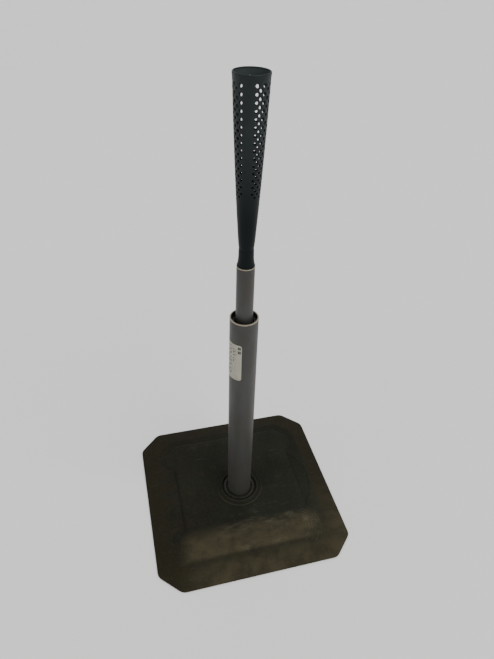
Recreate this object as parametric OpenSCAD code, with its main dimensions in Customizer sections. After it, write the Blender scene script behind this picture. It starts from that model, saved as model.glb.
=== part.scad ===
// Telescoping batting tee: a square rubber base, two steel tubes and a flexible perforated rubber cone.
// Millimetres. +Z is up, and the origin is on the floor under the pole's axis.

/* [Base] */
// Side of the square base
base_side = 400; // [380:5:440]
// Leg of each cut corner of the base
corner_cut = 42; // [34:1:50]
// Radius that softens the vertices of the base's outline
corner_round = 14; // [8:1:18]
// Height of the thin outer edge
edge_h = 2; // [1:0.5:4]
// Height of the flat ledge round the raised pad
ledge_h = 10.5; // [9.5:0.5:12]
// How far the ledge starts inside the outer edge
skirt_w = 36; // [30:1:40]
// Height of the raised pad
pad_h = 18; // [16:0.5:19]
// Half length of the raised pad, front to back
pad_half_y = 147; // [140:1:150]
// Half width of the pad at its four ears
pad_half_x = 150; // [142:1:154]
// Half width of the pad at the two hand-grip waists
waist_half_x = 132; // [125:1:138]
// Half length of each straight waist
waist_half_y = 76; // [60:1:85]
// Width of the rounded roll along the pad's front and back
roll_w = 49; // [40:1:55]

/* [Boss] */
// Radius of the low disc round the pole
boss_r = 50; // [47:0.5:54]
// Radius of the middle of the bead that rings the socket
bead_r = 39; // [38:0.5:41]
// Outer radius of the pole socket
socket_r = 34; // [33:0.5:35]
// Radius of the socket's open mouth
socket_mouth_r = 28.5; // [27:0.5:30]

/* [Pole] */
// Outside diameter of the lower tube
outer_d = 50; // [48:1:51]
// Wall of the lower tube
outer_wall = 2.5; // [2:0.25:3]
// Height of the lower tube's rim
outer_top = 486; // [470:1:500]
// Outside diameter of the upper tube
inner_d = 30; // [28:1:32]
// Wall of the upper tube
inner_wall = 2; // [1.5:0.25:2.5]
// Height of the upper tube's rim, as the tee stands
inner_top = 587; // [584:1:600]
// Length of the upper tube
inner_len = 404; // [390:1:410]

/* [Cone] */
// Height of the cone's rim
cone_top = 871; // [850:1:890]
// Radius of the cone at its rim
rim_r = 25.7; // [24:0.1:28]
// Radius of the cone at its narrow neck
neck_r = 12.2; // [11.5:0.1:13]
// Wall of the cone at the rim
cone_wall_t = 2.2; // [2:0.1:2.8]
// Whether the cone's wall is pierced
perforated = true; // [true, false]
// Rows of holes in each column
hole_rows = 15; // [10:1:16]
// Distance between rows of holes
row_pitch = 10.4; // [10:0.1:10.8]
// Columns of holes in each of the two side stripes, one fewer than in the back stripe
stripe_columns = 6; // [4:1:6]
// Angle between columns of holes
column_pitch = 13.1; // [12.5:0.1:13.5]

/* [Label] */
// Height of the label's lower edge
label_low = 360; // [340:1:370]
// Height of the label
label_h = 81; // [70:1:95]
// Angle that the label wraps round the tube
label_wrap = 110; // [80:1:130]

/* [Hidden] */
$fn = 64;

rubber = [0.16, 0.16, 0.13];
cone_rubber = [0.10, 0.13, 0.13];
steel_grey = [0.33, 0.33, 0.32];
zinc = [0.62, 0.63, 0.64];
nylon = [0.10, 0.10, 0.10];

base_half = base_side / 2;
ledge_half = base_half - skirt_w;
ledge_cut = corner_cut - skirt_w * 0.3;
pad_cut = 27;
waist_step = 18;
roll_steps = 7;
arc_steps = 4;

boss_top = pad_h + 1.2;
bead_top = pad_h + 2.6;
bead_half_w = 2.5;
groove_floor = pad_h - 1;
boss_low = 13;
pad_step = 0.4;
scoop_depth = 1.5;

plate_r = 76;
plate_t = 3;
plate_recess = 4;
screw_ring_r = 46;
screw_r = 3;
screw_count = 4;
flange_r = 60;
flange_low = 9;
flange_t = 3;
socket_floor = flange_low + flange_t;
socket_seat = 16;
bolt_pocket_r = 20;
bolt_r = 5;
bolt_af = 17;
bolt_head_h = 6.4;
thread_gap = 0.05;
press_gap = 0.02;

plug_len = 25;
outer_r = outer_d / 2;
outer_bore_r = outer_r - outer_wall;
inner_r = inner_d / 2;
inner_bore_r = inner_r - inner_wall;
slide_gap = 0.1;
bush_top = outer_top - 8;
bush_len = 40;

inner_low = inner_top - inner_len;
end_flange_t = 5;
washer_t = 3;
sleeve_len = 24;
washer_r = 20;
sleeve_top = inner_low - end_flange_t - washer_t;
sleeve_low = sleeve_top - sleeve_len;

foot_top = inner_top + 16;
neck_top = inner_top + 40;
hollow_floor = inner_top + 65;
lip_h = 6;
stripe_mid = -53.6;
stripe_turns = [0, 122.1, 242.5];
hole_top = cone_top - 13;
hole_d_top = 5.4;
hole_d_low = 3.2;

// A corner of an outline, rounded with radius r between the directions a0 and a1, about centre c
function arc_at(c, r, a0, a1) = [for (i = [0:arc_steps]) c + r * [cos(a0 + (a1 - a0) * i / arc_steps),
                                                                  sin(a0 + (a1 - a0) * i / arc_steps)]];

// One quarter of a square outline with a cut corner: both vertices of the cut are rounded
function cut_quarter(half, cut, r) =
  let (k = r * tan(22.5), first = [half - r, half - cut - k], second = [half - cut - k, half - r])
    concat(arc_at(first, r, 0, 45), arc_at(second, r, 45, 90));

function turned(points, a) = [for (p = points) [p.x * cos(a) - p.y * sin(a), p.x * sin(a) + p.y * cos(a)]];

function cut_square(half, cut, r) = [for (a = [0:90:270]) each turned(cut_quarter(half, cut, r), a)];

// The pad's outline, t being how far up its rounded roll the outline lies, from 0 to 1
function pad_corner(t) =
  let (
    a = pad_half_y - roll_w * t,
    top_x = waist_half_x - 36,
    b = waist_half_x + (top_x - waist_half_x) * t,
    e = pad_half_x + (top_x - pad_half_x) * t,
    w = waist_half_y * (1 - 0.45 * t)
  ) [[b, w], [e, w + waist_step], [e, a - pad_cut], [e - pad_cut * 0.4, a - pad_cut * 0.4], [e - pad_cut, a]];
function flipped_x(points) = [for (i = [len(points) - 1:-1:0]) [-points[i].x, points[i].y]];
function flipped_y(points) = [for (i = [len(points) - 1:-1:0]) [points[i].x, -points[i].y]];
function pad_outline(t) =
  let (right = concat(flipped_y(pad_corner(t)), pad_corner(t))) concat(right, flipped_x(right));
function roll_height(t) = ledge_h + (pad_h - ledge_h) * sqrt(1 - pow(1 - t, 2));

function at_height(points, z) = [for (p = points) [p.x, p.y, z]];

// A closed solid whose skin passes through rings of points, lowest ring first, all with the same count
module loft(rings) {
  n = len(rings[0]);
  last = len(rings) - 1;
  points = [for (ring = rings) each ring];
  sides = [for (k = [0:last - 1]) for (i = [0:n - 1])
    [k * n + i, (k + 1) * n + i, (k + 1) * n + (i + 1) % n, k * n + (i + 1) % n]];
  bottom = [for (i = [0:n - 1]) i];
  top = [for (i = [n - 1:-1:0]) last * n + i];
  polyhedron(points, concat(sides, [bottom, top]), convexity = 6);
}

module ring(r_out, r_in, z0, z1) {
  difference() {
    translate([0, 0, z0]) cylinder(r = r_out, h = z1 - z0);
    translate([0, 0, z0 - 1]) cylinder(r = r_in, h = z1 - z0 + 2);
  }
}

module hex_bolt(z_head, tip) {
  translate([0, 0, z_head]) cylinder(d = bolt_af / cos(30), h = bolt_head_h, $fn = 6);
  translate([0, 0, z_head + bolt_head_h - 0.5]) cylinder(r = bolt_r, h = tip - z_head - bolt_head_h + 0.5);
}

module at_plate_screws() {
  for (i = [0:screw_count - 1])
    rotate([0, 0, 45 + i * 360 / screw_count])
      translate([screw_ring_r, 0, 0]) children();
}

// Skirt with the thin edge, sloping up to the flat ledge
module skirt() {
  loft([
    at_height(cut_square(base_half, corner_cut, corner_round), 0),
    at_height(cut_square(base_half, corner_cut, corner_round), edge_h),
    at_height(cut_square(ledge_half, ledge_cut, corner_round), ledge_h)
  ]);
}

// Raised pad: a short upright step from the ledge, then a rounded roll up to the flat top
module pad() {
  loft(concat(
    [at_height(pad_outline(0), ledge_h - 4), at_height(pad_outline(0), ledge_h + pad_step)],
    [for (k = [1:roll_steps]) at_height(pad_outline(k / roll_steps), roll_height(k / roll_steps))]
  ));
}

// Shallow finger scoop beside each waist, bounded outside by an arc
module grip_scoops() {
  scoop_out = ledge_half - 2;
  sagitta = scoop_out - waist_half_x;
  scoop_r = (pow(waist_half_y, 2) + pow(sagitta, 2)) / (2 * sagitta);
  for (side = [0, 180])
    rotate([0, 0, side])
      intersection() {
        translate([scoop_out - scoop_r, 0, ledge_h - scoop_depth]) cylinder(r = scoop_r, h = 10);
        translate([waist_half_x - 2, -base_half, 0]) cube([60, base_side, 60]);
      }
}

module boss_profile() {
  polygon(concat(
    [[socket_r - 4, boss_low], [boss_r + 2, boss_low], [boss_r + 2, pad_h - 0.5], [boss_r, boss_top]],
    [for (a = [0:30:180]) [bead_r + bead_half_w * cos(a), boss_top + (bead_top - boss_top) * sin(a)]],
    [[bead_r - bead_half_w, groove_floor], [socket_r - 4, groove_floor]]
  ));
}

// Moulded rubber base, shaped round the socket that is moulded into it
module rubber_base() {
  color(rubber)
  difference() {
    union() {
      difference() {
        union() {
          difference() {
            skirt();
            grip_scoops();
          }
          pad();
        }
        translate([0, 0, boss_low + 1]) cylinder(r = bead_r, h = 20);
      }
      rotate_extrude() boss_profile();
    }
    translate([0, 0, flange_low]) cylinder(r = socket_r, h = 40);
    translate([0, 0, flange_low]) cylinder(r = flange_r, h = flange_t);
    translate([0, 0, -1]) cylinder(r = plate_r + 0.3, h = plate_recess + 1);
    translate([0, 0, -1]) cylinder(r = bolt_pocket_r, h = flange_low + 2);
    at_plate_screws() translate([0, 0, -1]) cylinder(r = screw_r + 0.3, h = flange_low + 2);
    // Shallow ring channels that leave gripping ribs on the underside
    for (r = [95:25:170])
      rotate_extrude() translate([r - 2, -1]) square([4, 2.2]);
  }
}

// Steel socket: a flange moulded into the rubber, and a short cup that stands up round the pole's foot
module pole_socket() {
  color(rubber * 0.8)
  difference() {
    union() {
      translate([0, 0, flange_low]) cylinder(r = flange_r, h = flange_t);
      translate([0, 0, flange_low]) cylinder(r = socket_r, h = bead_top - 1 - flange_low);
      translate([0, 0, bead_top - 1]) cylinder(r1 = socket_r, r2 = socket_r - 1, h = 1);
    }
    translate([0, 0, socket_floor]) cylinder(r = outer_r + press_gap, h = 30);
    translate([0, 0, socket_seat]) cylinder(r = socket_mouth_r, h = 30);
    translate([0, 0, 0]) cylinder(r = bolt_r + 0.5, h = 30);
    at_plate_screws() cylinder(r = screw_r + thread_gap, h = 30);
  }
}

// Steel plate under the base, which clamps the rubber against the socket's flange
module anchor_plate() {
  color(zinc)
  difference() {
    ring(plate_r, bolt_pocket_r, plate_recess - plate_t, plate_recess);
    at_plate_screws() translate([0, 0, -1]) cylinder(r = screw_r + 0.3, h = 20);
    at_plate_screws() translate([0, 0, plate_recess - plate_t - 0.01]) cylinder(r1 = 6, r2 = 3, h = 3);
  }
}

module plate_screws() {
  color(zinc)
  at_plate_screws()
    difference() {
      union() {
        translate([0, 0, plate_recess - plate_t]) cylinder(r1 = 5.9, r2 = 2.9, h = 3);
        translate([0, 0, plate_recess - plate_t + 2]) cylinder(r = screw_r, h = socket_floor - 3);
      }
      translate([0, 0, 0]) cylinder(r = 2, h = 2.8, $fn = 6);
    }
}

// Bolt from beneath, through the socket's floor and into the plug in the tube's foot
module base_bolt() {
  color(zinc) hex_bolt(flange_low - 1.6 - bolt_head_h, socket_floor + plug_len - 2);
}

module bolt_washer() {
  color(zinc) ring(11, bolt_r + 0.3, flange_low - 1.6, flange_low);
}

module foot_plug() {
  color(zinc) ring(outer_bore_r, bolt_r + thread_gap, socket_floor, socket_floor + plug_len);
}

// Lower tube
module outer_tube() {
  color(steel_grey)
  rotate_extrude(convexity = 4)
    polygon([
      [outer_bore_r, socket_floor], [outer_r, socket_floor], [outer_r, outer_top - 0.6],
      [outer_r - 0.6, outer_top], [outer_bore_r + 0.4, outer_top], [outer_bore_r, outer_top - 0.4]
    ]);
}

// Nylon bush that guides the upper tube, pressed in just below the rim
module guide_bush() {
  color(nylon)
  rotate_extrude(convexity = 4)
    polygon([
      [inner_r + slide_gap, bush_top - bush_len], [outer_bore_r, bush_top - bush_len], [outer_bore_r, bush_top],
      [inner_r + slide_gap + 2, bush_top], [inner_r + slide_gap, bush_top - 3]
    ]);
}

module label() {
  color([0.68, 0.66, 0.60])
  rotate([0, 0, -110 - label_wrap])
    rotate_extrude(angle = label_wrap)
      translate([outer_r, label_low]) square([0.25, label_h]);
}

// Rubber sleeve that rubs in the lower tube and holds the upper tube at any height
module expander_sleeve() {
  color(nylon)
  rotate_extrude(convexity = 4)
    polygon([
      [bolt_r + 0.3, sleeve_low], [washer_r - 1, sleeve_low], [outer_bore_r - slide_gap, sleeve_low + 5],
      [outer_bore_r - slide_gap, sleeve_top - 5], [washer_r - 1, sleeve_top], [bolt_r + 0.3, sleeve_top]
    ]);
}

// Upper tube
module inner_tube() {
  color(steel_grey)
  rotate_extrude(convexity = 4)
    polygon([
      [inner_bore_r, inner_low], [inner_r, inner_low], [inner_r, inner_top - 0.5],
      [inner_r - 0.5, inner_top], [inner_bore_r, inner_top]
    ]);
}

// Plug pressed into the upper tube's lower end, tapped for the expander bolt
module end_plug() {
  color(zinc)
  difference() {
    union() {
      translate([0, 0, inner_low - end_flange_t]) cylinder(r = inner_r, h = end_flange_t);
      translate([0, 0, inner_low]) cylinder(r = inner_bore_r, h = 28);
    }
    translate([0, 0, inner_low - 10]) cylinder(r = bolt_r + thread_gap, h = 60);
  }
}

module upper_washer() {
  color(zinc) ring(washer_r, bolt_r + 0.3, sleeve_top, sleeve_top + washer_t);
}

module lower_washer() {
  color(zinc) ring(washer_r, bolt_r + 0.3, sleeve_low - washer_t, sleeve_low);
}

module expander_bolt() {
  color(zinc) hex_bolt(sleeve_low - washer_t - bolt_head_h, inner_low + 22);
}

// Barbed plug: its lower half is pressed into the upper tube, and the cone is moulded on its stud
module cone_insert() {
  color(nylon)
  rotate_extrude(convexity = 4)
    polygon([
      [0, inner_top - 25], [inner_bore_r - 1, inner_top - 25], [inner_bore_r, inner_top - 23],
      [inner_bore_r, inner_top], [6, inner_top], [6, inner_top + 3], [8, inner_top + 3],
      [6, inner_top + 8], [8, inner_top + 8], [5.5, inner_top + 13], [0, inner_top + 13]
    ]);
}

// Foot of the cone, on the upper tube's rim and round the insert's stud
module cone_foot() {
  color(cone_rubber)
  rotate_extrude(convexity = 4)
    polygon([
      [6, inner_top], [inner_r - 0.4, inner_top], [inner_r - 0.4, inner_top + 1.2], [neck_r + 1.3, inner_top + 3],
      [neck_r + 0.5, inner_top + 8], [neck_r + 0.1, foot_top], [0, foot_top], [0, inner_top + 13],
      [5.5, inner_top + 13], [8, inner_top + 8], [6, inner_top + 8], [8, inner_top + 3], [6, inner_top + 3]
    ]);
}

// Solid neck of the cone, where it bends when the bat meets it
module cone_neck() {
  color(cone_rubber)
  rotate_extrude()
    polygon([
      [0, foot_top], [neck_r + 0.1, foot_top], [neck_r, foot_top + 9], [neck_r + 0.4, neck_top], [0, neck_top]
    ]);
}

function cone_r(z) = neck_r + 0.4 + (rim_r - 0.5 - neck_r - 0.4) * (z - neck_top) / (cone_top - lip_h - neck_top);
shoulder_z = neck_top + (cone_top - neck_top) * 0.5;
shoulder_r = cone_r(shoulder_z) + 0.9;

// Last column of stripe s, counted from 0
function last_column(s) = s == 1 ? stripe_columns : stripe_columns - 1;

// Column c of stripe s stands at this angle
function column_angle(s, c) = stripe_mid + stripe_turns[s] + (c - last_column(s) / 2) * column_pitch;

// Height of hole k in that column: neighbouring columns are staggered by half a row
function hole_z(s, c, k) = hole_top - (k + ((c + (s == 2 ? 1 : 0)) % 2) / 2) * row_pitch;

// Hollow wall of the cone, with its lip and its three stripes of holes
module cone_wall() {
  color(cone_rubber)
  difference() {
    rotate_extrude(convexity = 6)
      polygon([
        [0, neck_top], [neck_r + 0.4, neck_top], [shoulder_r, shoulder_z], [rim_r - 0.5, cone_top - lip_h],
        [rim_r, cone_top - 4], [rim_r, cone_top - 0.8], [rim_r - 0.8, cone_top],
        [rim_r - cone_wall_t, cone_top], [rim_r - cone_wall_t - 0.5, cone_top - lip_h],
        [shoulder_r - cone_wall_t - 0.3, shoulder_z], [9, hollow_floor + 4], [6, hollow_floor], [0, hollow_floor]
      ]);
    for (s = perforated ? [0:2] : [])
      for (c = [0:last_column(s)])
        for (k = [0:hole_rows - 1])
          rotate([0, 0, column_angle(s, c)])
            translate([cone_r(hole_z(s, c, k)) - 6, 0, hole_z(s, c, k)])
              rotate([0, 90, 0])
                cylinder(d = hole_d_top + (hole_d_low - hole_d_top) * k / hole_rows, h = 12, $fn = 20);
  }
}

rubber_base();
pole_socket();
anchor_plate();
plate_screws();
base_bolt();
bolt_washer();
foot_plug();
outer_tube();
guide_bush();
label();
expander_sleeve();
inner_tube();
end_plug();
upper_washer();
lower_washer();
expander_bolt();
cone_insert();
cone_foot();
cone_neck();
cone_wall();
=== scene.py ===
"""Looks of the batting tee round its CAD frame: dusty rubber base, painted tubes, perforated rubber cone."""

import math

import bpy
import numpy as np
from mathutils import Matrix, Vector, noise


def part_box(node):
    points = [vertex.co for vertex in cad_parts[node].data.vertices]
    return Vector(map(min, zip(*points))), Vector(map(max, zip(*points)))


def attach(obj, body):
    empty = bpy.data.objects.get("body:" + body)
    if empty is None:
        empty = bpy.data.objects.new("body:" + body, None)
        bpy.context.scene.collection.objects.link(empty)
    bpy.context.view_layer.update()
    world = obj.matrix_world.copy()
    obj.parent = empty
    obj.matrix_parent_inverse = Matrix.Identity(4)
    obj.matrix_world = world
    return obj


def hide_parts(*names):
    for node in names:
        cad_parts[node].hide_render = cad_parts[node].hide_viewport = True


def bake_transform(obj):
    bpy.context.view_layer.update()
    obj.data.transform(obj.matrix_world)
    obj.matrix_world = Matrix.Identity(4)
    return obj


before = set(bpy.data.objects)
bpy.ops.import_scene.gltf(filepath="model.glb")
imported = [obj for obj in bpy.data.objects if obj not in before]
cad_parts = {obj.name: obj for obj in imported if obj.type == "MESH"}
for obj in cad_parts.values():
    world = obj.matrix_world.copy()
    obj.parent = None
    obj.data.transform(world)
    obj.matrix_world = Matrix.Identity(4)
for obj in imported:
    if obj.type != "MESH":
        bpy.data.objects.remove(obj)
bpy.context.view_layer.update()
MM = 0.001

# ---------------------------------------------------------------- places, all from the frame

BASE_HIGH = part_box("rubber_base")[1]
OUTER_LOW, OUTER_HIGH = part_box("outer_tube")
INNER_LOW, INNER_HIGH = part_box("inner_tube")
LABEL_LOW, LABEL_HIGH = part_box("label")
WALL_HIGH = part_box("cone_wall")[1]

BASE_HALF = BASE_HIGH.x
OUTER_R = OUTER_HIGH.x
INNER_R = INNER_HIGH.x
OUTER_TOP = OUTER_HIGH.z
INNER_TOP = INNER_HIGH.z
CONE_TOP = WALL_HIGH.z
RIM_R = WALL_HIGH.x
FOOT_R = INNER_R - 0.4 * MM


# ---------------------------------------------------------------- mesh helpers

def mesh_object(name, verts, faces, smooth=True):
    """A mesh object from points in metres and faces."""
    data = bpy.data.meshes.new(name)
    data.from_pydata([tuple(v) for v in verts], [], faces)
    data.validate()
    data.update()
    if smooth:
        data.polygons.foreach_set("use_smooth", [True] * len(data.polygons))
    obj = bpy.data.objects.new(name, data)
    bpy.context.scene.collection.objects.link(obj)
    return obj


def lathe(name, profile, segments=160):
    """A closed solid of revolution about the pole's axis. profile is a closed loop of (radius, height)."""
    count = len(profile)
    verts = []
    for i in range(segments):
        a = 2 * math.pi * i / segments
        for r, z in profile:
            verts.append((r * math.cos(a), r * math.sin(a), z))
    faces = []
    for i in range(segments):
        j = (i + 1) % segments
        for k in range(count):
            m = (k + 1) % count
            faces.append((i * count + k, j * count + k, j * count + m, i * count + m))
    return mesh_object(name, verts, faces)


def rounded(profile, radius, steps=4):
    """The closed profile with each corner rounded by about radius, or by what its sides have room for."""
    out = []
    count = len(profile)
    for k in range(count):
        before = Vector(profile[k - 1])
        corner = Vector(profile[k])
        after = Vector(profile[(k + 1) % count])
        to_before = before - corner
        to_after = after - corner
        cut = min(radius, to_before.length * 0.45, to_after.length * 0.45)
        start = corner + to_before.normalized() * cut
        end = corner + to_after.normalized() * cut
        for s in range(steps + 1):
            t = s / steps
            out.append(tuple(start * (1 - t) ** 2 + corner * 2 * t * (1 - t) + end * t * t))
    return out


def subdivided(profile, step):
    """The closed profile with long sides cut into stretches of at most step."""
    out = []
    for k in range(len(profile)):
        a = Vector(profile[k])
        b = Vector(profile[(k + 1) % len(profile)])
        cuts = max(1, math.ceil((b - a).length / step))
        out += [tuple(a.lerp(b, i / cuts)) for i in range(cuts)]
    return out


# ---------------------------------------------------------------- material helpers

class Shader:
    """A material with short calls for the nodes that every finish here uses."""

    def __init__(self, name, metallic=0.0, specular=0.5):
        self.material = bpy.data.materials.new(name)
        self.material.use_nodes = True
        self.tree = self.material.node_tree
        self.bsdf = self.tree.nodes["Principled BSDF"]
        self.bsdf.inputs["Metallic"].default_value = metallic
        self.bsdf.inputs["Specular IOR Level"].default_value = specular
        self.rest = self.node("ShaderNodeTexCoord").outputs["Object"]

    def node(self, kind, **values):
        made = self.tree.nodes.new(kind)
        for key, value in values.items():
            setattr(made, key, value)
        return made

    def link(self, source, socket):
        self.tree.links.new(source, socket)

    def put(self, socket, value):
        if isinstance(value, bpy.types.NodeSocket):
            self.link(value, socket)
        else:
            socket.default_value = value

    def math(self, operation, a, b=0.0, c=0.0):
        made = self.node("ShaderNodeMath", operation=operation)
        for socket, value in zip(made.inputs, (a, b, c)):
            self.put(socket, value)
        return made.outputs[0]

    def noise(self, scale, detail=4.0, rough=0.55, stretch=(1, 1, 1), shift=(0, 0, 0)):
        moved = self.node("ShaderNodeMapping")
        moved.inputs["Scale"].default_value = stretch
        moved.inputs["Location"].default_value = shift
        self.link(self.rest, moved.inputs["Vector"])
        made = self.node("ShaderNodeTexNoise")
        made.inputs["Scale"].default_value = scale
        made.inputs["Detail"].default_value = detail
        made.inputs["Roughness"].default_value = rough
        self.link(moved.outputs[0], made.inputs["Vector"])
        return made.outputs["Fac"]

    def ramp(self, value, low, high, to_low=0.0, to_high=1.0):
        """A soft step from to_low to to_high as value goes from low to high."""
        made = self.node("ShaderNodeMapRange")
        made.interpolation_type = "SMOOTHSTEP"
        self.put(made.inputs["Value"], value)
        for key, number in (("From Min", low), ("From Max", high), ("To Min", to_low), ("To Max", to_high)):
            made.inputs[key].default_value = number
        return made.outputs["Result"]

    def mix(self, factor, a, b):
        made = self.node("ShaderNodeMix", data_type="RGBA")
        self.put(made.inputs["Factor"], factor)
        for socket, value in ((made.inputs["A"], a), (made.inputs["B"], b)):
            self.put(socket, (*value, 1.0) if isinstance(value, tuple) and len(value) == 3 else value)
        return made.outputs["Result"]

    def axes(self):
        split = self.node("ShaderNodeSeparateXYZ")
        self.link(self.rest, split.inputs[0])
        return split.outputs[0], split.outputs[1], split.outputs[2]

    def from_axis(self, x, y):
        """Distance from the pole's axis."""
        return self.math("SQRT", self.math("ADD", self.math("MULTIPLY", x, x), self.math("MULTIPLY", y, y)))

    def mask(self, name):
        """A value stored on the mesh's points under that name."""
        return self.node("ShaderNodeAttribute", attribute_name=name).outputs["Fac"]

    def bump(self, height, strength, distance, after=None):
        made = self.node("ShaderNodeBump")
        made.inputs["Strength"].default_value = strength
        made.inputs["Distance"].default_value = distance
        self.link(height, made.inputs["Height"])
        if after is not None:
            self.link(after, made.inputs["Normal"])
        return made.outputs["Normal"]

    def finish(self, color, roughness, normal=None):
        self.put(self.bsdf.inputs["Base Color"], color)
        self.put(self.bsdf.inputs["Roughness"], roughness)
        if normal is not None:
            self.link(normal, self.bsdf.inputs["Normal"])
        return self.material


# ---------------------------------------------------------------- materials

# Pale dust colour, also used as a painted reflection on the front right and a painted highlight on the boss's
# rings.
BASE_DUST_AND_SHEEN = (0.051, 0.0442, 0.0246)
BASE_PALE = (0.100, 0.090, 0.063)


def base_dust_and_sheen(s, body, x, y, mottle, wipes):
    """Brown film on the left and the skirt, dust on the front and the front roll, and dust with a painted
    reflection on the front half of the right side.
    """
    brown = (0.0165, 0.0138, 0.0064)
    skirt = s.mask("skirt")
    left = s.math("MULTIPLY", s.ramp(x, 0.03, -0.17), s.ramp(wipes, 0.30, 0.62))
    body = s.mix(s.math("MULTIPLY", left, 0.55), body, brown)
    body = s.mix(s.math("MULTIPLY", skirt, s.ramp(wipes, 0.2, 0.7, 0.45, 0.9)), body, brown)
    front = s.math("MULTIPLY", s.ramp(y, -0.12, -0.19), s.ramp(x, -0.18, -0.08, 0.06, 0.95))
    body = s.mix(s.math("MULTIPLY", front, s.ramp(mottle, 0.3, 0.65, 0.35, 0.9)), body, BASE_DUST_AND_SHEEN)
    # Front half of the right side: dust, with a painted reflection in the same pale colour.
    right = s.math("MULTIPLY", s.ramp(x, 0.12, 0.19), s.ramp(y, 0.02, -0.14))
    body = s.mix(s.math("MULTIPLY", right, s.ramp(wipes, 0.3, 0.65, 0.25, 0.8)), body, BASE_DUST_AND_SHEEN)
    dusty = s.math("MULTIPLY", s.mask("roll"), s.ramp(mottle, 0.28, 0.58, 0.40, 1.0))
    return s.mix(s.math("MULTIPLY", dusty, s.ramp(wipes, 0.25, 0.6, 0.6, 1.0)), body, BASE_DUST_AND_SHEEN)


def base_rubbing(s, body, x, y, clouds, mottle, wipes):
    """Pale streaks, the rubbed shoulder over the front roll, arcs on the front right ear, and scratches."""
    streak = s.math("MULTIPLY", s.ramp(wipes, 0.56, 0.70), s.ramp(mottle, 0.45, 0.62))
    body = s.mix(s.math("MULTIPLY", streak, s.math("MULTIPLY_ADD", s.mask("roll"), 0.35, 0.12)), body, BASE_PALE)
    shoulder = s.math("MULTIPLY", s.ramp(s.math("ABSOLUTE", s.math("ADD", y, 0.097)), 0.016, 0.003),
                      s.math("MULTIPLY", s.ramp(x, -0.10, 0.0), s.ramp(x, 0.118, 0.09)))
    worn = s.ramp(s.noise(55.0, 6.0, 0.7, stretch=(0.5, 1.4, 1.0)), 0.44, 0.66)
    body = s.mix(s.math("MULTIPLY", s.math("MULTIPLY", shoulder, worn), 0.42), body, BASE_PALE)
    ear = s.from_axis(s.math("SUBTRACT", x, 0.098), s.math("ADD", y, 0.125))
    arcs = s.math("SINE", s.math("MULTIPLY_ADD", ear, 950.0, s.math("MULTIPLY", clouds, 9.0)))
    near_ear = s.math("MULTIPLY", s.ramp(ear, 0.058, 0.045), s.ramp(x, 0.100, 0.118))
    arcs = s.math("MULTIPLY", s.ramp(arcs, 0.35, 0.95), near_ear)
    body = s.mix(s.math("MULTIPLY", arcs, s.ramp(mottle, 0.40, 0.62, 0.0, 0.30)), body, BASE_PALE)
    scratch = s.noise(75.0, 3.0, 0.6, stretch=(0.25, 2.6, 1.0), shift=(2.0, 5.0, 0.0))
    line = s.math("MULTIPLY", s.ramp(scratch, 0.63, 0.72), s.ramp(clouds, 0.45, 0.6))
    return s.mix(s.math("MULTIPLY", line, 0.22), body, BASE_PALE)


def base_ring_sheen(s, body, x, y, mottle):
    """Painted highlight on the front half of the boss's disc edge and bead top, broken into patches."""
    away = s.from_axis(x, y)
    disc_edge = s.ramp(s.math("ABSOLUTE", s.math("SUBTRACT", away, 0.0497)), 0.0016, 0.0004)
    bead_top = s.ramp(s.math("ABSOLUTE", s.math("SUBTRACT", away, 0.0395)), 0.0022, 0.0006)
    ring = s.math("MULTIPLY_ADD", bead_top, 0.45, disc_edge)
    front_sheen_patches = s.math("MULTIPLY", s.ramp(y, 0.01, -0.03), s.ramp(mottle, 0.35, 0.6, 0.4, 1.0))
    # painted highlight: the rings are lightened only on their front half
    return s.mix(s.math("MULTIPLY", s.math("MULTIPLY", ring, front_sheen_patches), 0.42), body, BASE_DUST_AND_SHEEN)


def base_grit_and_crease_shade(s, body, mottle):
    """Worn edges, painted shade in the creases, grit and specks."""
    edge = s.node("ShaderNodeNewGeometry").outputs["Pointiness"]
    worn = s.math("MULTIPLY", s.ramp(edge, 0.515, 0.56), s.ramp(mottle, 0.35, 0.6))
    body = s.mix(s.math("MULTIPLY", worn, 0.35), body, BASE_PALE)
    # painted shade: where the pointiness is low, in creases, the colour is darkened
    body = s.mix(s.math("MULTIPLY", s.ramp(edge, 0.49, 0.44), 0.10), body, (0.005, 0.005, 0.004))
    grit = s.noise(210.0, 5.0, 0.7)
    body = s.mix(s.ramp(grit, 0.45, 0.70, 0.0, 0.22), body, (0.040, 0.038, 0.028))
    speck = s.ramp(s.noise(420.0, 2.0, 0.5, shift=(3.0, 1.0, 2.0)), 0.69, 0.76)
    return s.mix(s.math("MULTIPLY", speck, 0.3), body, BASE_PALE)


def base_rubber():
    """Black moulded rubber under brown dust, palest on the front roll and the front right corner, where the dust
    carries a painted reflection; painted shade in the creases and a painted highlight on the boss's rings.
    """
    s = Shader("base_rubber_dust_and_painted_light", specular=0.10)
    x, y, _ = s.axes()
    clouds = s.noise(9.0, 5.0, 0.6)
    mottle = s.noise(38.0, 6.0, 0.65)
    grain = s.noise(900.0, 3.0, 0.6)
    wipes = s.noise(30.0, 5.0, 0.65, stretch=(0.6, 1.6, 1.0))
    body = s.mix(s.ramp(clouds, 0.35, 0.65), (0.0100, 0.0106, 0.0070), (0.0145, 0.0158, 0.0112))
    body = base_dust_and_sheen(s, body, x, y, mottle, wipes)
    body = base_rubbing(s, body, x, y, clouds, mottle, wipes)
    body = base_ring_sheen(s, body, x, y, mottle)
    body = base_grit_and_crease_shade(s, body, mottle)
    rough = s.math("MULTIPLY_ADD", mottle, 0.22, 0.58)
    normal = s.bump(grain, 0.35, 0.0006)
    normal = s.bump(mottle, 0.30, 0.0016, after=normal)
    return s.finish(body, rough, normal)


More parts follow.
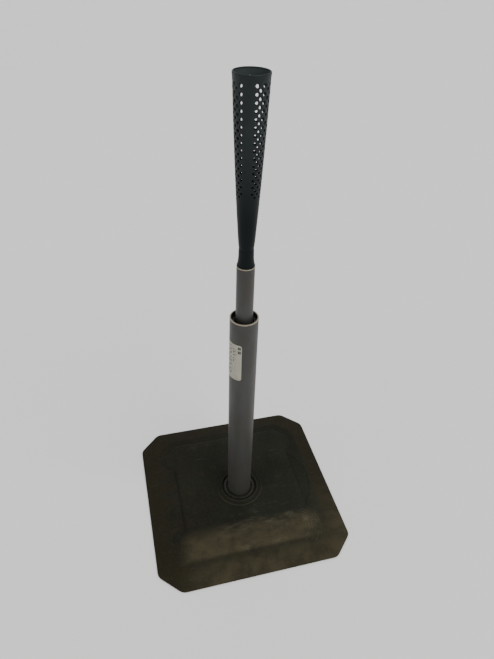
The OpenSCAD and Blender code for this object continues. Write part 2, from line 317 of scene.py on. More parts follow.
def socket_paint():
    """Black paint on the pole's socket, mottled with dust."""
    s = Shader("socket_paint", specular=0.3)
    mottle = s.noise(120.0, 5.0, 0.6)
    dark = (0.0075, 0.0078, 0.0052)
    dust = (0.020, 0.0190, 0.0120)
    color = s.mix(s.ramp(mottle, 0.40, 0.68), dark, dust)
    return s.finish(color, s.math("MULTIPLY_ADD", mottle, 0.3, 0.45), s.bump(mottle, 0.3, 0.0005))


def grey_paint(name, rim_height, bore_radius):
    """Satin grey powder coat over steel: fine orange peel, faint wear up the tube, paler towards the foot with
    dust and a painted highlight, bare metal at its rim, and painted shade down the bore.
    """
    s = Shader(name, metallic=0.15, specular=0.45)
    x, y, z = s.axes()
    peel = s.noise(1400.0, 2.0, 0.5)
    cloud = s.noise(24.0, 4.0, 0.6, stretch=(1.0, 1.0, 0.35))
    drag = s.noise(160.0, 5.0, 0.7, stretch=(1.0, 1.0, 0.03))
    grey = (0.0400, 0.0400, 0.0372)
    warm = (0.0305, 0.0290, 0.0240)
    color = s.mix(s.ramp(cloud, 0.35, 0.68), grey, warm)
    color = s.mix(s.math("MULTIPLY", s.ramp(drag, 0.62, 0.8), 0.35), color, (0.062, 0.059, 0.053))
    # paler towards the foot: dust, with a painted highlight where the lower tube catches the light
    color = s.mix(s.ramp(z, 0.20, 0.02, 0.0, 0.45), color, (0.066, 0.064, 0.055))
    speck = s.ramp(s.noise(700.0, 2.0, 0.5, shift=(5.0, 2.0, 1.0)), 0.70, 0.76)
    color = s.mix(s.math("MULTIPLY", speck, 0.3), color, (0.13, 0.12, 0.105))
    ragged = s.math("MULTIPLY_ADD", s.noise(260.0, 4.0, 0.6), 0.0022, rim_height - 0.0026)
    bare = s.math("GREATER_THAN", z, ragged)
    color = s.mix(bare, color, (0.27, 0.235, 0.175))
    # painted shade: the bore's wall inside the tube is darkened
    inside = s.ramp(s.from_axis(x, y), bore_radius + 0.0006, bore_radius + 0.0002)
    color = s.mix(s.math("MULTIPLY", inside, 0.85), color, (0.018, 0.017, 0.015))
    rough = s.math("MULTIPLY_ADD", cloud, 0.18, 0.36)
    return s.finish(color, rough, s.bump(peel, 0.25, 0.0002))


def cone_rubber():
    """Smooth black rubber with a soft green-blue cast, hand marks and faint pale bloom, painted shade towards the
    bottom and painted light on the inside near the rim.
    """
    s = Shader("cone_rubber_smooth")
    _, _, z = s.axes()
    s.put(s.bsdf.inputs["Specular IOR Level"], s.ramp(z, CONE_TOP - 0.22, CONE_TOP - 0.10, 0.12, 0.25))
    cloud = s.noise(30.0, 5.0, 0.6, stretch=(1.0, 1.0, 0.5))
    fine = s.noise(520.0, 4.0, 0.6)
    smear = s.noise(90.0, 4.0, 0.65, stretch=(1.0, 1.0, 0.12))
    dark = (0.0056, 0.0098, 0.0108)
    light = (0.0100, 0.0162, 0.0172)
    color = s.mix(s.ramp(cloud, 0.35, 0.68), dark, light)
    bloom = s.math("MULTIPLY", s.ramp(smear, 0.60, 0.80), 0.35)
    color = s.mix(bloom, color, (0.030, 0.035, 0.033))
    speck = s.ramp(s.noise(800.0, 2.0, 0.5, shift=(1.0, 7.0, 3.0)), 0.70, 0.76)
    color = s.mix(s.math("MULTIPLY", speck, 0.25), color, (0.07, 0.07, 0.062))
    # painted shade: the cone darkens towards the bottom
    low = s.ramp(z, CONE_TOP - 0.03, CONE_TOP - 0.20)
    color = s.mix(s.math("MULTIPLY", low, 0.8), color, (0.0018, 0.0038, 0.0042))
    # painted light: the hollow's wall is lightened towards the rim
    painted_light_inside = s.math("MULTIPLY", s.mask("inside"), s.ramp(z, CONE_TOP - 0.10, CONE_TOP, 0.3, 0.8))
    color = s.mix(painted_light_inside, color, (0.052, 0.066, 0.066))
    rough = s.math("MULTIPLY_ADD", cloud, 0.20, 0.38)
    normal = s.bump(fine, 0.12, 0.0003)
    normal = s.bump(smear, 0.10, 0.0006, after=normal)
    return s.finish(color, rough, normal)


def zinc_plate():
    """Zinc plate with crystals, dulled by handling."""
    s = Shader("zinc_plate", metallic=0.9, specular=0.5)
    crystal = s.node("ShaderNodeTexVoronoi")
    crystal.inputs["Scale"].default_value = 220.0
    s.link(s.rest, crystal.inputs["Vector"])
    dull = s.noise(70.0, 5.0, 0.6)
    color = s.mix(s.ramp(dull, 0.35, 0.7), (0.52, 0.52, 0.50), (0.36, 0.35, 0.32))
    color = s.mix(s.math("MULTIPLY", crystal.outputs["Distance"], 0.35), color, (0.62, 0.63, 0.62))
    return s.finish(color, s.math("MULTIPLY_ADD", dull, 0.25, 0.28), s.bump(dull, 0.15, 0.0004))


def black_moulding(name, shade, roughness):
    """Plain black moulded plastic or rubber for pieces inside."""
    s = Shader(name, specular=0.4)
    fine = s.noise(300.0, 4.0, 0.6)
    cloud = s.noise(40.0, 3.0, 0.6)
    dark = tuple(0.6 * shade for _ in range(3))
    light = tuple(1.5 * shade for _ in range(3))
    color = s.mix(s.ramp(cloud, 0.3, 0.7), dark, light)
    return s.finish(color, s.math("MULTIPLY_ADD", fine, 0.2, roughness - 0.1), s.bump(fine, 0.2, 0.0004))


def label_film():
    """Off-white film label with generic printed blocks and dashes, which spell nothing."""
    s = Shader("label_film", specular=0.4)
    uv = s.node("ShaderNodeUVMap", uv_map="wrap")
    split = s.node("ShaderNodeSeparateXYZ")
    s.link(uv.outputs[0], split.inputs[0])
    u, v = split.outputs[0], split.outputs[1]

    def band(value, low, high):
        above = s.math("GREATER_THAN", value, low)
        return s.math("MULTIPLY", above, s.math("LESS_THAN", value, high))

    def block(u0, u1, v0, v1):
        return s.math("MULTIPLY", band(u, u0, u1), band(v, v0, v1))

    yellowing = s.noise(45.0, 4.0, 0.6)
    dirt = s.noise(240.0, 5.0, 0.65)
    paper = s.mix(s.ramp(yellowing, 0.35, 0.68), (0.365, 0.355, 0.288), (0.31, 0.302, 0.243))
    paper = s.mix(s.math("MULTIPLY", s.ramp(dirt, 0.58, 0.74), 0.35), paper, (0.23, 0.215, 0.18))
    marks = s.math("MAXIMUM", block(0.85, 0.962, 0.885, 0.955), block(0.85, 0.962, 0.77, 0.845))
    gap = s.math("GREATER_THAN", s.math("ABSOLUTE", s.math("SUBTRACT", u, 0.906)), 0.003)
    marks = s.math("MULTIPLY", marks, gap)

    def dashes(u0, u1, per, v0, v1):
        """A column of short bars of uneven length."""
        step = s.math("MULTIPLY", v, per)
        wobble = s.math("SINE", s.math("MULTIPLY", s.math("FLOOR", step), 2.3))
        uneven = s.math("MULTIPLY_ADD", wobble, 0.15, 0.68)
        bar = s.math("MULTIPLY", s.math("GREATER_THAN", s.math("FRACT", step), 0.22),
                     s.math("LESS_THAN", s.math("FRACT", step), uneven))
        return s.math("MULTIPLY", bar, block(u0, u1, v0, v1))

    lines = s.math("MAXIMUM", dashes(0.64, 0.70, 12.0, 0.50, 0.92), dashes(0.72, 0.755, 9.0, 0.56, 0.90))
    lines = s.math("MAXIMUM", lines, dashes(0.47, 0.565, 9.0, 0.07, 0.94))
    lines = s.math("MAXIMUM", lines, dashes(0.37, 0.445, 7.0, 0.09, 0.90))
    faded = s.ramp(s.noise(600.0, 3.0, 0.6), 0.28, 0.5)
    paper = s.mix(s.math("MULTIPLY", lines, s.math("MULTIPLY", faded, 0.95)), paper, (0.05, 0.046, 0.036))
    ink = s.math("MULTIPLY", marks, s.math("MULTIPLY_ADD", faded, 0.4, 0.6))
    paper = s.mix(ink, paper, (0.03, 0.028, 0.024))
    return s.finish(paper, s.math("MULTIPLY_ADD", dirt, 0.2, 0.42), s.bump(yellowing, 0.1, 0.0004))


def floor_material():
    s = Shader("studio_floor", specular=0.2)
    soft = s.noise(3.0, 2.0, 0.5)
    return s.finish(s.mix(soft, (0.90, 0.90, 0.90), (0.93, 0.93, 0.93)), 0.75)


# ---------------------------------------------------------------- rubber base

PAD_HALF_Y = 0.147
PAD_HALF_X = 0.150
WAIST_HALF_X = 0.132
WAIST_HALF_Y = 0.076
WAIST_STEP = 0.018
PAD_CUT = 0.027
ROLL_FRONT = 0.049
ROLL_SIDE = 0.040
LEDGE_H = 0.0105
PAD_H = 0.018
EDGE_H = 0.002
SKIRT_W = 0.036
CORNER_CUT = 0.042
DISC_R = 0.0525
DISC_RIM_R = 0.0495
BEAD_R = 0.039
BEAD_HALF_W = 0.0026
BEAD_H = 0.0016
BOSS_R = 0.053
GROOVE_R = 0.0364
UNDER_CHANNELS = (0.170, 0.145, 0.120, 0.095)
RECESS_R = 0.0763
RECESS_H = 0.004
FLANGE_H = 0.009


def smooth_max(a, b, k):
    """The larger of a and b, rounded where they are within k of each other."""
    h = np.clip(0.5 + 0.5 * (a - b) / k, 0, 1)
    return b * (1 - h) + a * h + k * h * (1 - h)


def cut_square_distance(x, y, half, cut, k):
    """How far a point lies outside a square with cut corners, less than 0 inside."""
    sides = np.maximum(np.abs(x) - half, np.abs(y) - half)
    corner = (np.abs(x) + np.abs(y) - (2 * half - cut)) / math.sqrt(2)
    return smooth_max(sides, corner, k)


def smooth_step(t):
    t = np.clip(t, 0, 1)
    return t * t * (3 - 2 * t)


def base_height(x, y):
    """Height of the base's top at x, y: skirt, ledge, finger scoops, rounded pad, and the boss with its bead."""
    out = -cut_square_distance(x, y, BASE_HALF, CORNER_CUT, 0.006)
    ledge = cut_square_distance(x, y, BASE_HALF - SKIRT_W, CORNER_CUT - SKIRT_W * 0.3, 0.006)
    t = out / np.maximum(out + np.maximum(ledge, 0), 1e-6)
    z = EDGE_H + (LEDGE_H - EDGE_H) * np.clip(t, 0, 1) ** 0.9
    # finger scoops beside the waists
    scoop_out = BASE_HALF - SKIRT_W - 0.002
    sagitta = scoop_out - WAIST_HALF_X
    scoop_r = (WAIST_HALF_Y ** 2 + sagitta ** 2) / (2 * sagitta)
    inside = scoop_r - np.hypot(np.abs(x) - (scoop_out - scoop_r), y)
    beside = np.abs(x) > WAIST_HALF_X - 0.004
    z = np.where(beside, z - 0.0016 * smooth_step(inside / 0.004), z)
    # pad
    ramp = np.clip((np.abs(y) - WAIST_HALF_Y) / WAIST_STEP, 0, 1)
    edge_x = WAIST_HALF_X + (PAD_HALF_X - WAIST_HALF_X) * ramp
    to_side = (edge_x - np.abs(x)) / ROLL_SIDE
    to_front = (PAD_HALF_Y - np.abs(y)) / ROLL_FRONT
    cut = (PAD_HALF_X + PAD_HALF_Y - PAD_CUT - np.abs(x) - np.abs(y)) / math.sqrt(2) / ROLL_SIDE
    t = -smooth_max(smooth_max(-to_side, -to_front, 0.35), -cut, 0.25)
    edge_t = np.minimum(np.minimum(to_side, to_front), cut)
    t = np.where(edge_t < 0.10, edge_t, np.maximum(t, 0.0) * smooth_step((edge_t - 0.10) / 0.3)
                 + edge_t * (1 - smooth_step((edge_t - 0.10) / 0.3)))
    roll = np.sqrt(np.clip(1 - (1 - np.clip(t, 0, 1)) ** 2, 0, 1))
    step = smooth_step((edge_t + 0.01) / 0.03) * 0.0004
    pad = LEDGE_H + step + (PAD_H - LEDGE_H) * roll
    z = np.where(edge_t > -0.01, np.maximum(z, pad), z)
    # boss: a low disc, a bead and the groove round the socket
    r = np.hypot(x, y)
    disc = PAD_H + 0.0012 * smooth_step((DISC_R - r) / 0.003)
    rim = 0.0006 * np.clip(1 - ((r - DISC_RIM_R) / 0.0016) ** 2, 0, 1)
    bead = BEAD_H * np.sqrt(np.clip(1 - ((r - BEAD_R) / BEAD_HALF_W) ** 2, 0, 1))
    boss = disc + rim + bead
    z = np.where(r < BOSS_R, boss, z)
    z = np.where(r < GROOVE_R, PAD_H - 0.001, z)
    return z


def base_relief(x, y, z):
    """Small unevenness of old moulded rubber: slow waves and shallow dents."""
    wave = noise.noise(Vector((x * 14, y * 14, 0.3))) * 0.00035
    dent = max(0.0, noise.noise(Vector((x * 60, y * 60, 4.0))) - 0.35) * -0.0009
    calm = min(1.0, max(0.0, (math.hypot(x, y) - 0.055) / 0.02))
    low = min(1.0, z / 0.006)
    return (wave + dent) * calm * low


def base_masks(x, y):
    """Where the dust lies: on the sloping skirt, and on the roll along the pad's front."""
    ledge = cut_square_distance(x, y, BASE_HALF - SKIRT_W, CORNER_CUT - SKIRT_W * 0.3, 0.006)
    skirt = smooth_step((ledge + 0.006) / 0.012)
    front = smooth_step((-0.080 - y) / 0.034) * smooth_step((y + 0.154) / 0.010)
    return skirt, front * smooth_step((0.162 - np.abs(x)) / 0.045)


def base_edge_radius(a):
    """Distance from the axis to the base's outline in direction a, found by bisection."""
    low, high = 0.15, 0.30
    for _ in range(40):
        mid = (low + high) / 2
        outside = cut_square_distance(np.array(mid * math.cos(a)), np.array(mid * math.sin(a)),
                                      BASE_HALF, CORNER_CUT, 0.006)
        low, high = (low, mid) if outside > 0 else (mid, high)
    return (low + high) / 2


def under_profile(hole_r):
    """The underside from the edge inwards: ring channels, then the recess for the anchor plate."""
    under = []
    for mid in UNDER_CHANNELS:
        under += [(mid + 0.002, 0.0), (mid + 0.0018, 0.0012), (mid - 0.0018, 0.0012), (mid - 0.002, 0.0)]
    return under + [(RECESS_R, 0.0), (RECESS_R, RECESS_H), (hole_r, RECESS_H)]


def base_column(a, inner_rings, outer_share, under):
    """Points of the base's closed section in direction a, from the socket's hole over the top and back beneath."""
    ca, sa = math.cos(a), math.sin(a)
    edge = base_edge_radius(a)
    split = inner_rings[-1]
    radii = np.array(inner_rings + [split + (edge - 0.0006 - split) * s for s in outer_share])
    heights = base_height(radii * ca, radii * sa)
    rim = [(edge - 0.0001, heights[-1] - 0.0005), (edge, heights[-1] * 0.5), (edge - 0.0002, 0.0004),
           (edge - 0.0008, 0.0)]
    column = [(inner_rings[0], FLANGE_H)] + list(zip(radii, heights)) + rim + under
    points = []
    for r, z in column:
        x, y = r * ca, r * sa
        lift = base_relief(x, y, z) if 0.05 < r < edge - 0.001 and z > 0.002 else 0.0
        points.append((x, y, z + lift))
    return points


def store_base_masks(base, verts):
    """Keeps the dust masks on the base's points, for its material to read."""
    places = np.array(verts)
    topside = smooth_step((places[:, 2] - 0.0005) / 0.001)
    for name, values in zip(("skirt", "roll"), base_masks(places[:, 0], places[:, 1])):
        attribute = base.data.attributes.new(name, "FLOAT", "POINT")
        attribute.data.foreach_set("value", (values * topside).astype(np.float32))


def rubber_base():
    """The moulded base as one closed mesh: a fine polar grid on top, and a stepped underside."""
    spokes = 720
    inner_rings = [0.0341, 0.0345, 0.0352, 0.0358, 0.0363, 0.0365]
    inner_rings += [0.0365 + 0.0005 * i for i in range(1, 34)]
    outer_share = np.linspace(0, 1, 118)[1:]
    under = under_profile(inner_rings[0])
    columns = [base_column(2 * math.pi * i / spokes, inner_rings, outer_share, under) for i in range(spokes)]
    verts = [point for column in columns for point in column]
    count = len(columns[0])
    faces = []
    for i in range(spokes):
        j = (i + 1) % spokes
        for k in range(count):
            m = (k + 1) % count
            faces.append((i * count + k, i * count + m, j * count + m, j * count + k))
    base = mesh_object("base_moulding", verts, faces)
    store_base_masks(base, verts)
    base.data.materials.append(base_rubber())
    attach(base, "base")
    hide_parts("rubber_base")
    return base


# ---------------------------------------------------------------- tubes

def outer_tube():
    bore = OUTER_R - 0.0025
    profile = [(bore, OUTER_LOW.z), (OUTER_R, OUTER_LOW.z), (OUTER_R, OUTER_TOP), (bore, OUTER_TOP)]
    tube = lathe("lower_tube", subdivided(rounded(profile, 0.0006), 0.02))
    tube.data.materials.append(grey_paint("grey_paint_lower", OUTER_TOP, bore))
    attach(tube, "base")
    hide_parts("outer_tube")
    return tube


def inner_tube():
    bore = INNER_R - 0.002
    profile = [(bore, INNER_LOW.z), (INNER_R, INNER_LOW.z), (INNER_R, INNER_TOP), (bore, INNER_TOP)]
    tube = lathe("upper_tube", subdivided(rounded(profile, 0.0005), 0.02))
    tube.data.materials.append(grey_paint("grey_paint_upper", INNER_TOP, bore))
    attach(tube, "stem")
    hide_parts("inner_tube")
    return tube


# ---------------------------------------------------------------- label

LABEL_COLS = 90
LABEL_ROWS = 60
LABEL_CORNER = 0.005
LABEL_GAP = 0.00006
LABEL_T = 0.00018


def label_inset(side):
    """How far the top and bottom edges pull in at this distance from a side, to round the corner."""
    if side >= LABEL_CORNER:
        return 0.0
    return LABEL_CORNER - math.sqrt(max(0.0, LABEL_CORNER ** 2 - (LABEL_CORNER - side) ** 2))


def label_points():
    """Points and wrapped places of both skins of the film, column by column."""
    turn_low = math.radians(-220)
    turn_high = math.radians(-110)
    skin = OUTER_R + LABEL_GAP
    width = (turn_high - turn_low) * OUTER_R
    height = LABEL_HIGH.z - LABEL_LOW.z
    verts, uvs = [], []
    for layer in (0, 1):
        for i in range(LABEL_COLS + 1):
            u = i / LABEL_COLS
            ease = 0.5 - 0.5 * math.cos(math.pi * u)
            u = 0.35 * u + 0.65 * ease
            a = turn_low + (turn_high - turn_low) * u
            side = min(u, 1 - u) * width
            pull = label_inset(side)
            lift = 0.00005 * max(0.0, 1 - side / 0.002)
            r = skin + (LABEL_T if layer else 0.0) + lift
            for j in range(LABEL_ROWS + 1):
                z = LABEL_LOW.z + pull + (height - 2 * pull) * (j / LABEL_ROWS)
                verts.append((r * math.cos(a), r * math.sin(a), z))
                uvs.append((u, (z - LABEL_LOW.z) / height))
    return verts, uvs


def label_faces():
    """Both skins of the film, and the thin edge that joins them."""
    cols, rows = LABEL_COLS, LABEL_ROWS
    faces = []

    def at(layer, i, j):
        return layer * (cols + 1) * (rows + 1) + i * (rows + 1) + j

    for i in range(cols):
        for j in range(rows):
            faces.append((at(1, i, j), at(1, i + 1, j), at(1, i + 1, j + 1), at(1, i, j + 1)))
            faces.append((at(0, i, j), at(0, i, j + 1), at(0, i + 1, j + 1), at(0, i + 1, j)))
    for i in range(cols):
        faces.append((at(0, i, 0), at(0, i + 1, 0), at(1, i + 1, 0), at(1, i, 0)))
        faces.append((at(0, i, rows), at(1, i, rows), at(1, i + 1, rows), at(0, i + 1, rows)))
    for j in range(rows):
        faces.append((at(0, 0, j), at(1, 0, j), at(1, 0, j + 1), at(0, 0, j + 1)))
        faces.append((at(0, cols, j), at(0, cols, j + 1), at(1, cols, j + 1), at(1, cols, j)))
    return faces


def label():
    """A thin film patch on the lower tube, with rounded corners and slightly lifted edges."""
    verts, uvs = label_points()
    patch = mesh_object("film_label", verts, label_faces())
    layer = patch.data.uv_layers.new(name="wrap")
    for loop in patch.data.loops:
        layer.data[loop.index].uv = uvs[loop.vertex_index]
    patch.data.materials.append(label_film())
    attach(patch, "base")
    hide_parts("label")
    return patch


# ---------------------------------------------------------------- cone

STEPS = 6
PITCH = 0.0104
ROWS = 15
HOLE_TOP_Z = CONE_TOP - 0.013
HOLE_D_TOP = 0.0054
HOLE_D_LOW = 0.0032
RIM_WALL = 0.0022
STRIPE_MID = math.radians(-53.6)
STRIPES = ((6, -117.5, 1), (6, 0.0, 0), (7, 122.1, 0))
COLUMN_TURN = math.radians(13.1)
NECK_R = 0.0122


def column_plan():
    """Each upright line of cells round the cone: its angle, and how far its holes stand down, or None if plain."""
    starts = [STRIPE_MID + math.radians(turn) - (count - 1) / 2 * COLUMN_TURN for count, turn, _ in STRIPES]
    plan = []
    for s, (count, _, parity) in enumerate(STRIPES):
        plan += [(starts[s] + c * COLUMN_TURN, PITCH / 2 * ((c + parity) % 2)) for c in range(count)]
        plain_from = plan[-1][0] + COLUMN_TURN
        following = starts[(s + 1) % 3] + (2 * math.pi if s == 2 else 0)
        plain_to = following - COLUMN_TURN
        plan += [(a, None) for a in (plain_from, (plain_from + plain_to) / 2, plain_to)]
    return plan


PLAN = column_plan()
COLUMNS = len(PLAN)


def cone_radius(z):
    """Outer radius of the cone at height z."""
    foot = INNER_TOP
    if z < foot + 0.0012:
        return FOOT_R
    if z < foot + 0.030:
        t = (z - foot - 0.0012) / 0.0288
        return NECK_R + (FOOT_R - NECK_R) * (1 - t) ** 5 * 0.8 + 0.0007 * (1 - t) ** 2
    start = foot + 0.030
    t = (z - start) / (CONE_TOP - 0.006 - start)
    if t > 1:
        return RIM_R
    ease = min(1.0, t / 0.08)
    line = NECK_R + (RIM_R - 0.0005 - NECK_R) * t
    return line + 0.0010 * 4 * t * (1 - t) - 0.0006 * (1 - ease) ** 2


def wall_depth(z):
    """Thickness of the cone's wall at height z."""
    t = min(1.0, max(0.0, (CONE_TOP - z) / 0.2))
    return RIM_WALL + 0.0006 * t


TURN_KEYS = round(2 * math.pi * 1e5)


class Skin:
    """Collects points and faces, and keeps one point for each place."""

    def __init__(self):
        self.verts = []
        self.faces = []
        self.known = {}

    def point(self, a, z, depth=0.0, key=None):
        """The point at angle a and height z, depth metres inside the outer surface."""
        key = key or (round(a % (2 * math.pi) * 1e5) % TURN_KEYS, round(z * 1e6), round(depth * 1e6))
        if key not in self.known:
            self.known[key] = len(self.verts)
            r = cone_radius(z) - depth
            self.verts.append((r * math.cos(a), r * math.sin(a), z))
        return self.known[key]

    def face(self, *points):
        kept = [p for i, p in enumerate(points) if p != points[i - 1]]
        if len(kept) >= 3:
            self.faces.append(tuple(kept))


def rhombus(a, z, half_turn, half_z):
    """The border of the cell round a hole, as angle and height, in STEPS stretches a side."""
    corners = [(a + half_turn, z), (a, z + half_z), (a - half_turn, z), (a, z - half_z)]
    border = []
    for k in range(4):
        a0, z0 = corners[k]
        a1, z1 = corners[(k + 1) % 4]
        border += [(a0 + (a1 - a0) * i / STEPS, z0 + (z1 - z0) * i / STEPS) for i in range(STEPS)]
    return border


def pierced_cell(skin, a, z, hole_r):
    """One cell of the skin with a round hole in it, through the wall."""
    border = rhombus(a, z, COLUMN_TURN, PITCH / 2)
    count = len(border)
    rounding = 0.0003

    def circle(radius, depth_share, lift):
        ring = []
        for i in range(count):
            t = 2 * math.pi * i / count
            dz = radius * math.sin(t)
            depth = wall_depth(z + dz) * depth_share + lift
            r = cone_radius(z + dz)
            da = radius * math.cos(t) / r
            key = ("c", a, z, i, round(radius, 7), depth_share, lift)
            ring.append(skin.point(a + da, z + dz, depth, key=key))
        return ring

    outer_border = [skin.point(b[0], b[1], 0.0) for b in border]
    inner_border = [skin.point(b[0], b[1], wall_depth(b[1])) for b in border]
    loops = [
        outer_border,
        circle(hole_r + rounding, 0.0, 0.0),
        circle(hole_r + rounding * 0.3, 0.0, rounding * 0.3),
        circle(hole_r, 0.0, rounding),
        circle(hole_r, 1.0, -rounding),
        circle(hole_r + rounding, 1.0, 0.0),
        inner_border,
    ]
    for first, second in zip(loops, loops[1:]):
        for i in range(count):
            j = (i + 1) % count
            skin.face(first[i], first[j], second[j], second[i])


def is_inside(x, y, z):
    """1 for a point on the hollow side of the cone's wall, and 0 elsewhere."""
    in_hollow = INNER_TOP + 0.05 < z < CONE_TOP - 0.002
    return 1.0 if in_hollow and math.hypot(x, y) < cone_radius(z) - 0.0018 else 0.0


def column_angle(column, share=0.0):
    """The angle of a column, or of a place that share of the way to the next one."""
    here = PLAN[column][0]
    after = PLAN[(column + 1) % COLUMNS][0] + (2 * math.pi if column == COLUMNS - 1 else 0)
    return here + share * (after - here)


def hole_heights(column):
    """Heights of this column's holes, or none if it is plain."""
    if PLAN[column][1] is None:
        return []
    return [HOLE_TOP_Z - k * PITCH - PLAN[column][1] for k in range(ROWS)]


def plain_quad(skin, a0, z00, z01, a1, z10, z11):
    """A patch of plain wall, both skins, between two upright lines, each with its lower height first."""
    for depth, order in ((0, 1), (1, -1)):
        def at(a, z):
            return skin.point(a, z, wall_depth(z) if depth else 0.0)
        points = [at(a0, z00), at(a1, z10), at(a1, z11), at(a0, z01)]
        skin.face(*points[::order])


def cell_spans(column, s0, s1):
    """Where cells cover the strip from share s0 to s1 of the way to the next column, from the top down.

    Each is the height of a hole, and the cell's half height at each side of the strip.
    """
    spans = [(z, PITCH / 2 * (1 - s0), PITCH / 2 * (1 - s1)) for z in hole_heights(column)]
    spans += [(z, PITCH / 2 * s0, PITCH / 2 * s1) for z in hole_heights((column + 1) % COLUMNS)]
    return sorted(spans, key=lambda item: -item[0])


def pierced_band(skin, cuts):
    """The cells with their holes, then upright strips of plain wall wherever no cell covers the band."""
    for column in range(COLUMNS):
        for k, z in enumerate(hole_heights(column)):
            hole_r = (HOLE_D_TOP + (HOLE_D_LOW - HOLE_D_TOP) * k / ROWS) / 2
            pierced_cell(skin, column_angle(column), z, hole_r)
    for column in range(COLUMNS):
        for step in range(STEPS):
            s0, s1 = step / STEPS, (step + 1) / STEPS
            a0, a1 = column_angle(column, s0), column_angle(column, s1)
            fill_strip(skin, a0, a1, cell_spans(column, s0, s1), cuts)


def cone():
    """The rubber cone as one closed mesh, foot to rim, with real holes through its hollow wall."""
    skin = Skin()
    half = PITCH / 2
    top = HOLE_TOP_Z + half + half
    levels = 2 * ROWS + 3
    pierced_band(skin, [top - half * i for i in range(levels + 1)])
    angles = [column_angle(c, i / STEPS) for c in range(COLUMNS) for i in range(STEPS)]
    cone_ends(skin, angles, top, top - levels * half)
    obj = mesh_object("rubber_cone", skin.verts, skin.faces)
    attribute = obj.data.attributes.new("inside", "FLOAT", "POINT")
    attribute.data.foreach_set("value", np.array([is_inside(*v) for v in skin.verts], np.float32))
    obj.data.materials.append(cone_rubber())
    return obj


def fill_strip(skin, a0, a1, spans, cuts):
    """Plain quads down one upright strip, in the gaps that the cells' spans leave, cut at each level."""
    top, low = cuts[0], cuts[-1]
    upper0 = upper1 = top
    edges = []
    for z, w0, w1 in spans:
        edges.append((upper0, upper1, z + w0, z + w1))
        upper0, upper1 = z - w0, z - w1
    edges.append((upper0, upper1, low, low))
    for u0, u1, l0, l1 in edges:
        if u0 - l0 < 1e-7 and u1 - l1 < 1e-7:
            continue
        inside = [c for c in cuts if min(u0, u1) - 1e-7 > c > max(l0, l1) + 1e-7]
        marks = [(u0, u1)] + [(c, c) for c in inside] + [(l0, l1)]
        for (t0, t1), (b0, b1) in zip(marks, marks[1:]):
            plain_quad(skin, a0, b0, t0, a1, b1, t1)


def cone_ends(skin, angles, top, low):
    """The lip above the pierced band, and the plain wall, hollow floor, neck and foot below it."""
    count = len(angles)

    def ring(z, depth):
        return [skin.point(a, z, depth) for a in angles]

    def stitch(rings):
        for lower, upper in zip(rings, rings[1:]):
            for i in range(count):
                j = (i + 1) % count
                skin.face(lower[i], lower[j], upper[j], upper[i])

    lip = [ring(top, 0.0)]
    for z in (CONE_TOP - 0.0058, CONE_TOP - 0.0050, CONE_TOP - 0.0042):
        if z > top + 1e-5:
            lip.append(ring(z, 0.0))
    for k in range(7):
        t = math.pi * k / 6
        z = CONE_TOP - RIM_WALL / 2 + RIM_WALL / 2 * math.sin(t)
        lip.append(ring_at(skin, angles, RIM_R - RIM_WALL / 2 + RIM_WALL / 2 * math.cos(t), z))
    lip.append(ring(top, wall_depth(top)))
    stitch(lip)

    foot = INNER_TOP
    floor = foot + 0.065
    outside = [ring_at(skin, angles, 0.0, foot)]
    outside += [ring_at(skin, angles, r, foot) for r in (0.006, FOOT_R - 0.0006)]
    outside.append(ring_at(skin, angles, FOOT_R - 0.0001, foot + 0.0003))
    outside.append(ring_at(skin, angles, FOOT_R, foot + 0.0007))
    z = foot + 0.0012
    while z < low - 1e-5:
        outside.append(ring(z, 0.0))
        z += 0.0008 if z < foot + 0.012 else 0.0015
    outside.append(ring(low, 0.0))
    stitch(outside)

    inside = [ring(low, wall_depth(low))]
    z = low - 0.004
    while z > floor + 0.010:
        inside.append(ring(z, wall_depth(z)))
        z -= 0.004
    last_r = cone_radius(floor + 0.010) - wall_depth(floor + 0.010)
    for k in range(1, 7):
        t = math.pi / 2 * k / 6
        inside.append(ring_at(skin, angles, last_r * math.cos(t), floor + 0.010 - 0.008 * math.sin(t)))
    stitch(inside)


def ring_at(skin, angles, radius, z):
    """A ring of points at a radius given outright, or one point at the axis."""
    if radius < 1e-5:
        key = ("axis", round(z * 1e6))
        if key not in skin.known:
            skin.known[key] = len(skin.verts)
            skin.verts.append((0.0, 0.0, z))
        return [skin.known[key]] * len(angles)
    ring = []
    for i, a in enumerate(angles):
        key = ("r", i, round(radius * 1e7), round(z * 1e7))
        if key not in skin.known:
            skin.known[key] = len(skin.verts)
            skin.verts.append((radius * math.cos(a), radius * math.sin(a), z))
        ring.append(skin.known[key])
    return ring


def place_cone():
    """The cone, its transform baked into its points, in place of the CAD cone's foot, neck and wall, which are
    hidden.
    """
    obj = cone()
    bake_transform(obj)
    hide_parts("cone_foot", "cone_neck", "cone_wall")
    return obj


# ---------------------------------------------------------------- CAD nodes that stay

def finish_cad_nodes():
    """Each CAD node that stays visible gets its procedural finish."""
    zinc = zinc_plate()
    nylon = black_moulding("black_nylon", 0.018, 0.45)
    sleeve = black_moulding("sleeve_rubber", 0.022, 0.7)
    finishes = {
        "pole_socket": socket_paint(), "anchor_plate": zinc, "plate_screws": zinc, "base_bolt": zinc,
        "bolt_washer": zinc, "foot_plug": zinc, "guide_bush": nylon, "expander_sleeve": sleeve,
        "end_plug": zinc, "upper_washer": zinc, "lower_washer": zinc, "expander_bolt": zinc,
        "cone_insert": nylon,
    }
    for name, material in finishes.items():
        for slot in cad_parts[name].material_slots:
            slot.material = material


# ---------------------------------------------------------------- stage, light and camera

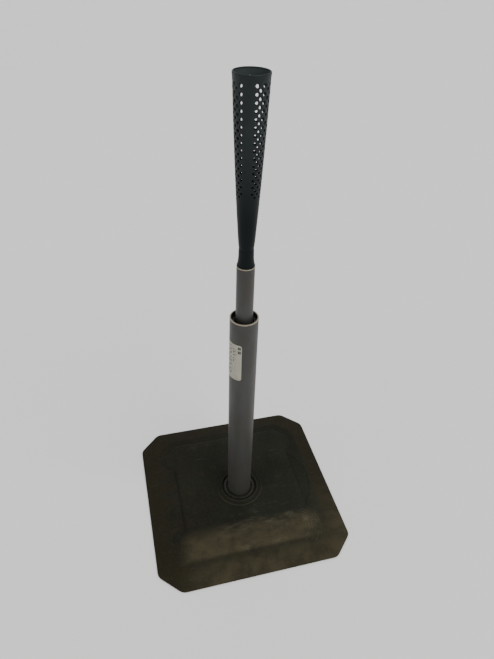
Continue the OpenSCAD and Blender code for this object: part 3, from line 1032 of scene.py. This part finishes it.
def stage():
    """A wide pale floor, and a dome that is palest near the horizon."""
    corners = [(-60, -60, 0), (60, -60, 0), (60, 60, 0), (-60, 60, 0)]
    floor = mesh_object("studio_floor", corners, [(0, 1, 2, 3)], smooth=False)
    floor.location.z = -0.0004
    floor.data.materials.append(floor_material())
    world = bpy.data.worlds.new("studio")
    bpy.context.scene.world = world
    world.use_nodes = True
    tree = world.node_tree
    direction = tree.nodes.new("ShaderNodeTexCoord")
    split = tree.nodes.new("ShaderNodeSeparateXYZ")
    tree.links.new(direction.outputs["Generated"], split.inputs[0])
    dome = tree.nodes.new("ShaderNodeMapRange")
    dome.interpolation_type = "SMOOTHSTEP"
    for key, number in (("From Min", 0.02), ("From Max", 0.45), ("To Min", 0.93), ("To Max", 0.36)):
        dome.inputs[key].default_value = number
    tree.links.new(split.outputs["Z"], dome.inputs["Value"])
    tree.links.new(dome.outputs["Result"], tree.nodes["Background"].inputs["Strength"])
    tree.nodes["Background"].inputs["Color"].default_value = (1.0, 1.0, 1.0, 1.0)


def soft_sun(name, place, strength, spread, color):
    """A broad distant light that shines from place towards the tee, evenly over the floor."""
    data = bpy.data.lights.new(name, "SUN")
    data.energy = strength
    data.angle = math.radians(spread)
    data.color = color
    lamp = bpy.data.objects.new(name, data)
    lamp.location = place
    lamp.rotation_euler = (-Vector(place)).to_track_quat("-Z", "Y").to_euler()
    bpy.context.scene.collection.objects.link(lamp)


def lights():
    soft_sun("key", (0.8, -1.1, 1.5), 1.9, 45, (1.0, 0.985, 0.96))
    soft_sun("fill", (-1.2, -0.3, 1.6), 0.7, 70, (0.96, 0.985, 1.0))
    soft_sun("back", (0.5, 1.5, 1.4), 0.5, 60, (1.0, 1.0, 1.0))


def camera():
    """A camera above and before the tee, turned so that the base's front edge runs up to the right."""
    turn = math.radians(15.17)
    distance, height = 0.7352, 1.0271
    pitch, yaw, roll = 0.6581, 0.0074, 0.0355
    forward = Vector((math.sin(yaw) * math.cos(pitch), math.cos(yaw) * math.cos(pitch), -math.sin(pitch)))
    right = forward.cross(Vector((0, 0, 1))).normalized()
    up = right.cross(forward)
    leaned_right = right * math.cos(roll) + up * math.sin(roll)
    leaned_up = up * math.cos(roll) - right * math.sin(roll)
    axes = Matrix((leaned_right, leaned_up, -forward)).transposed().to_4x4()
    data = bpy.data.cameras.new("camera")
    data.sensor_fit = "AUTO"
    data.sensor_width = 36.0
    data.lens = 29.38
    data.clip_end = 200.0
    eye = bpy.data.objects.new("camera", data)
    eye.matrix_world = Matrix.Rotation(-turn, 4, "Z") @ Matrix.Translation((0, -distance, height)) @ axes
    bpy.context.scene.collection.objects.link(eye)
    bpy.context.scene.camera = eye


def main():
    camera()
    stage()
    lights()
    finish_cad_nodes()
    rubber_base()
    outer_tube()
    inner_tube()
    label()
    place_cone()


main()
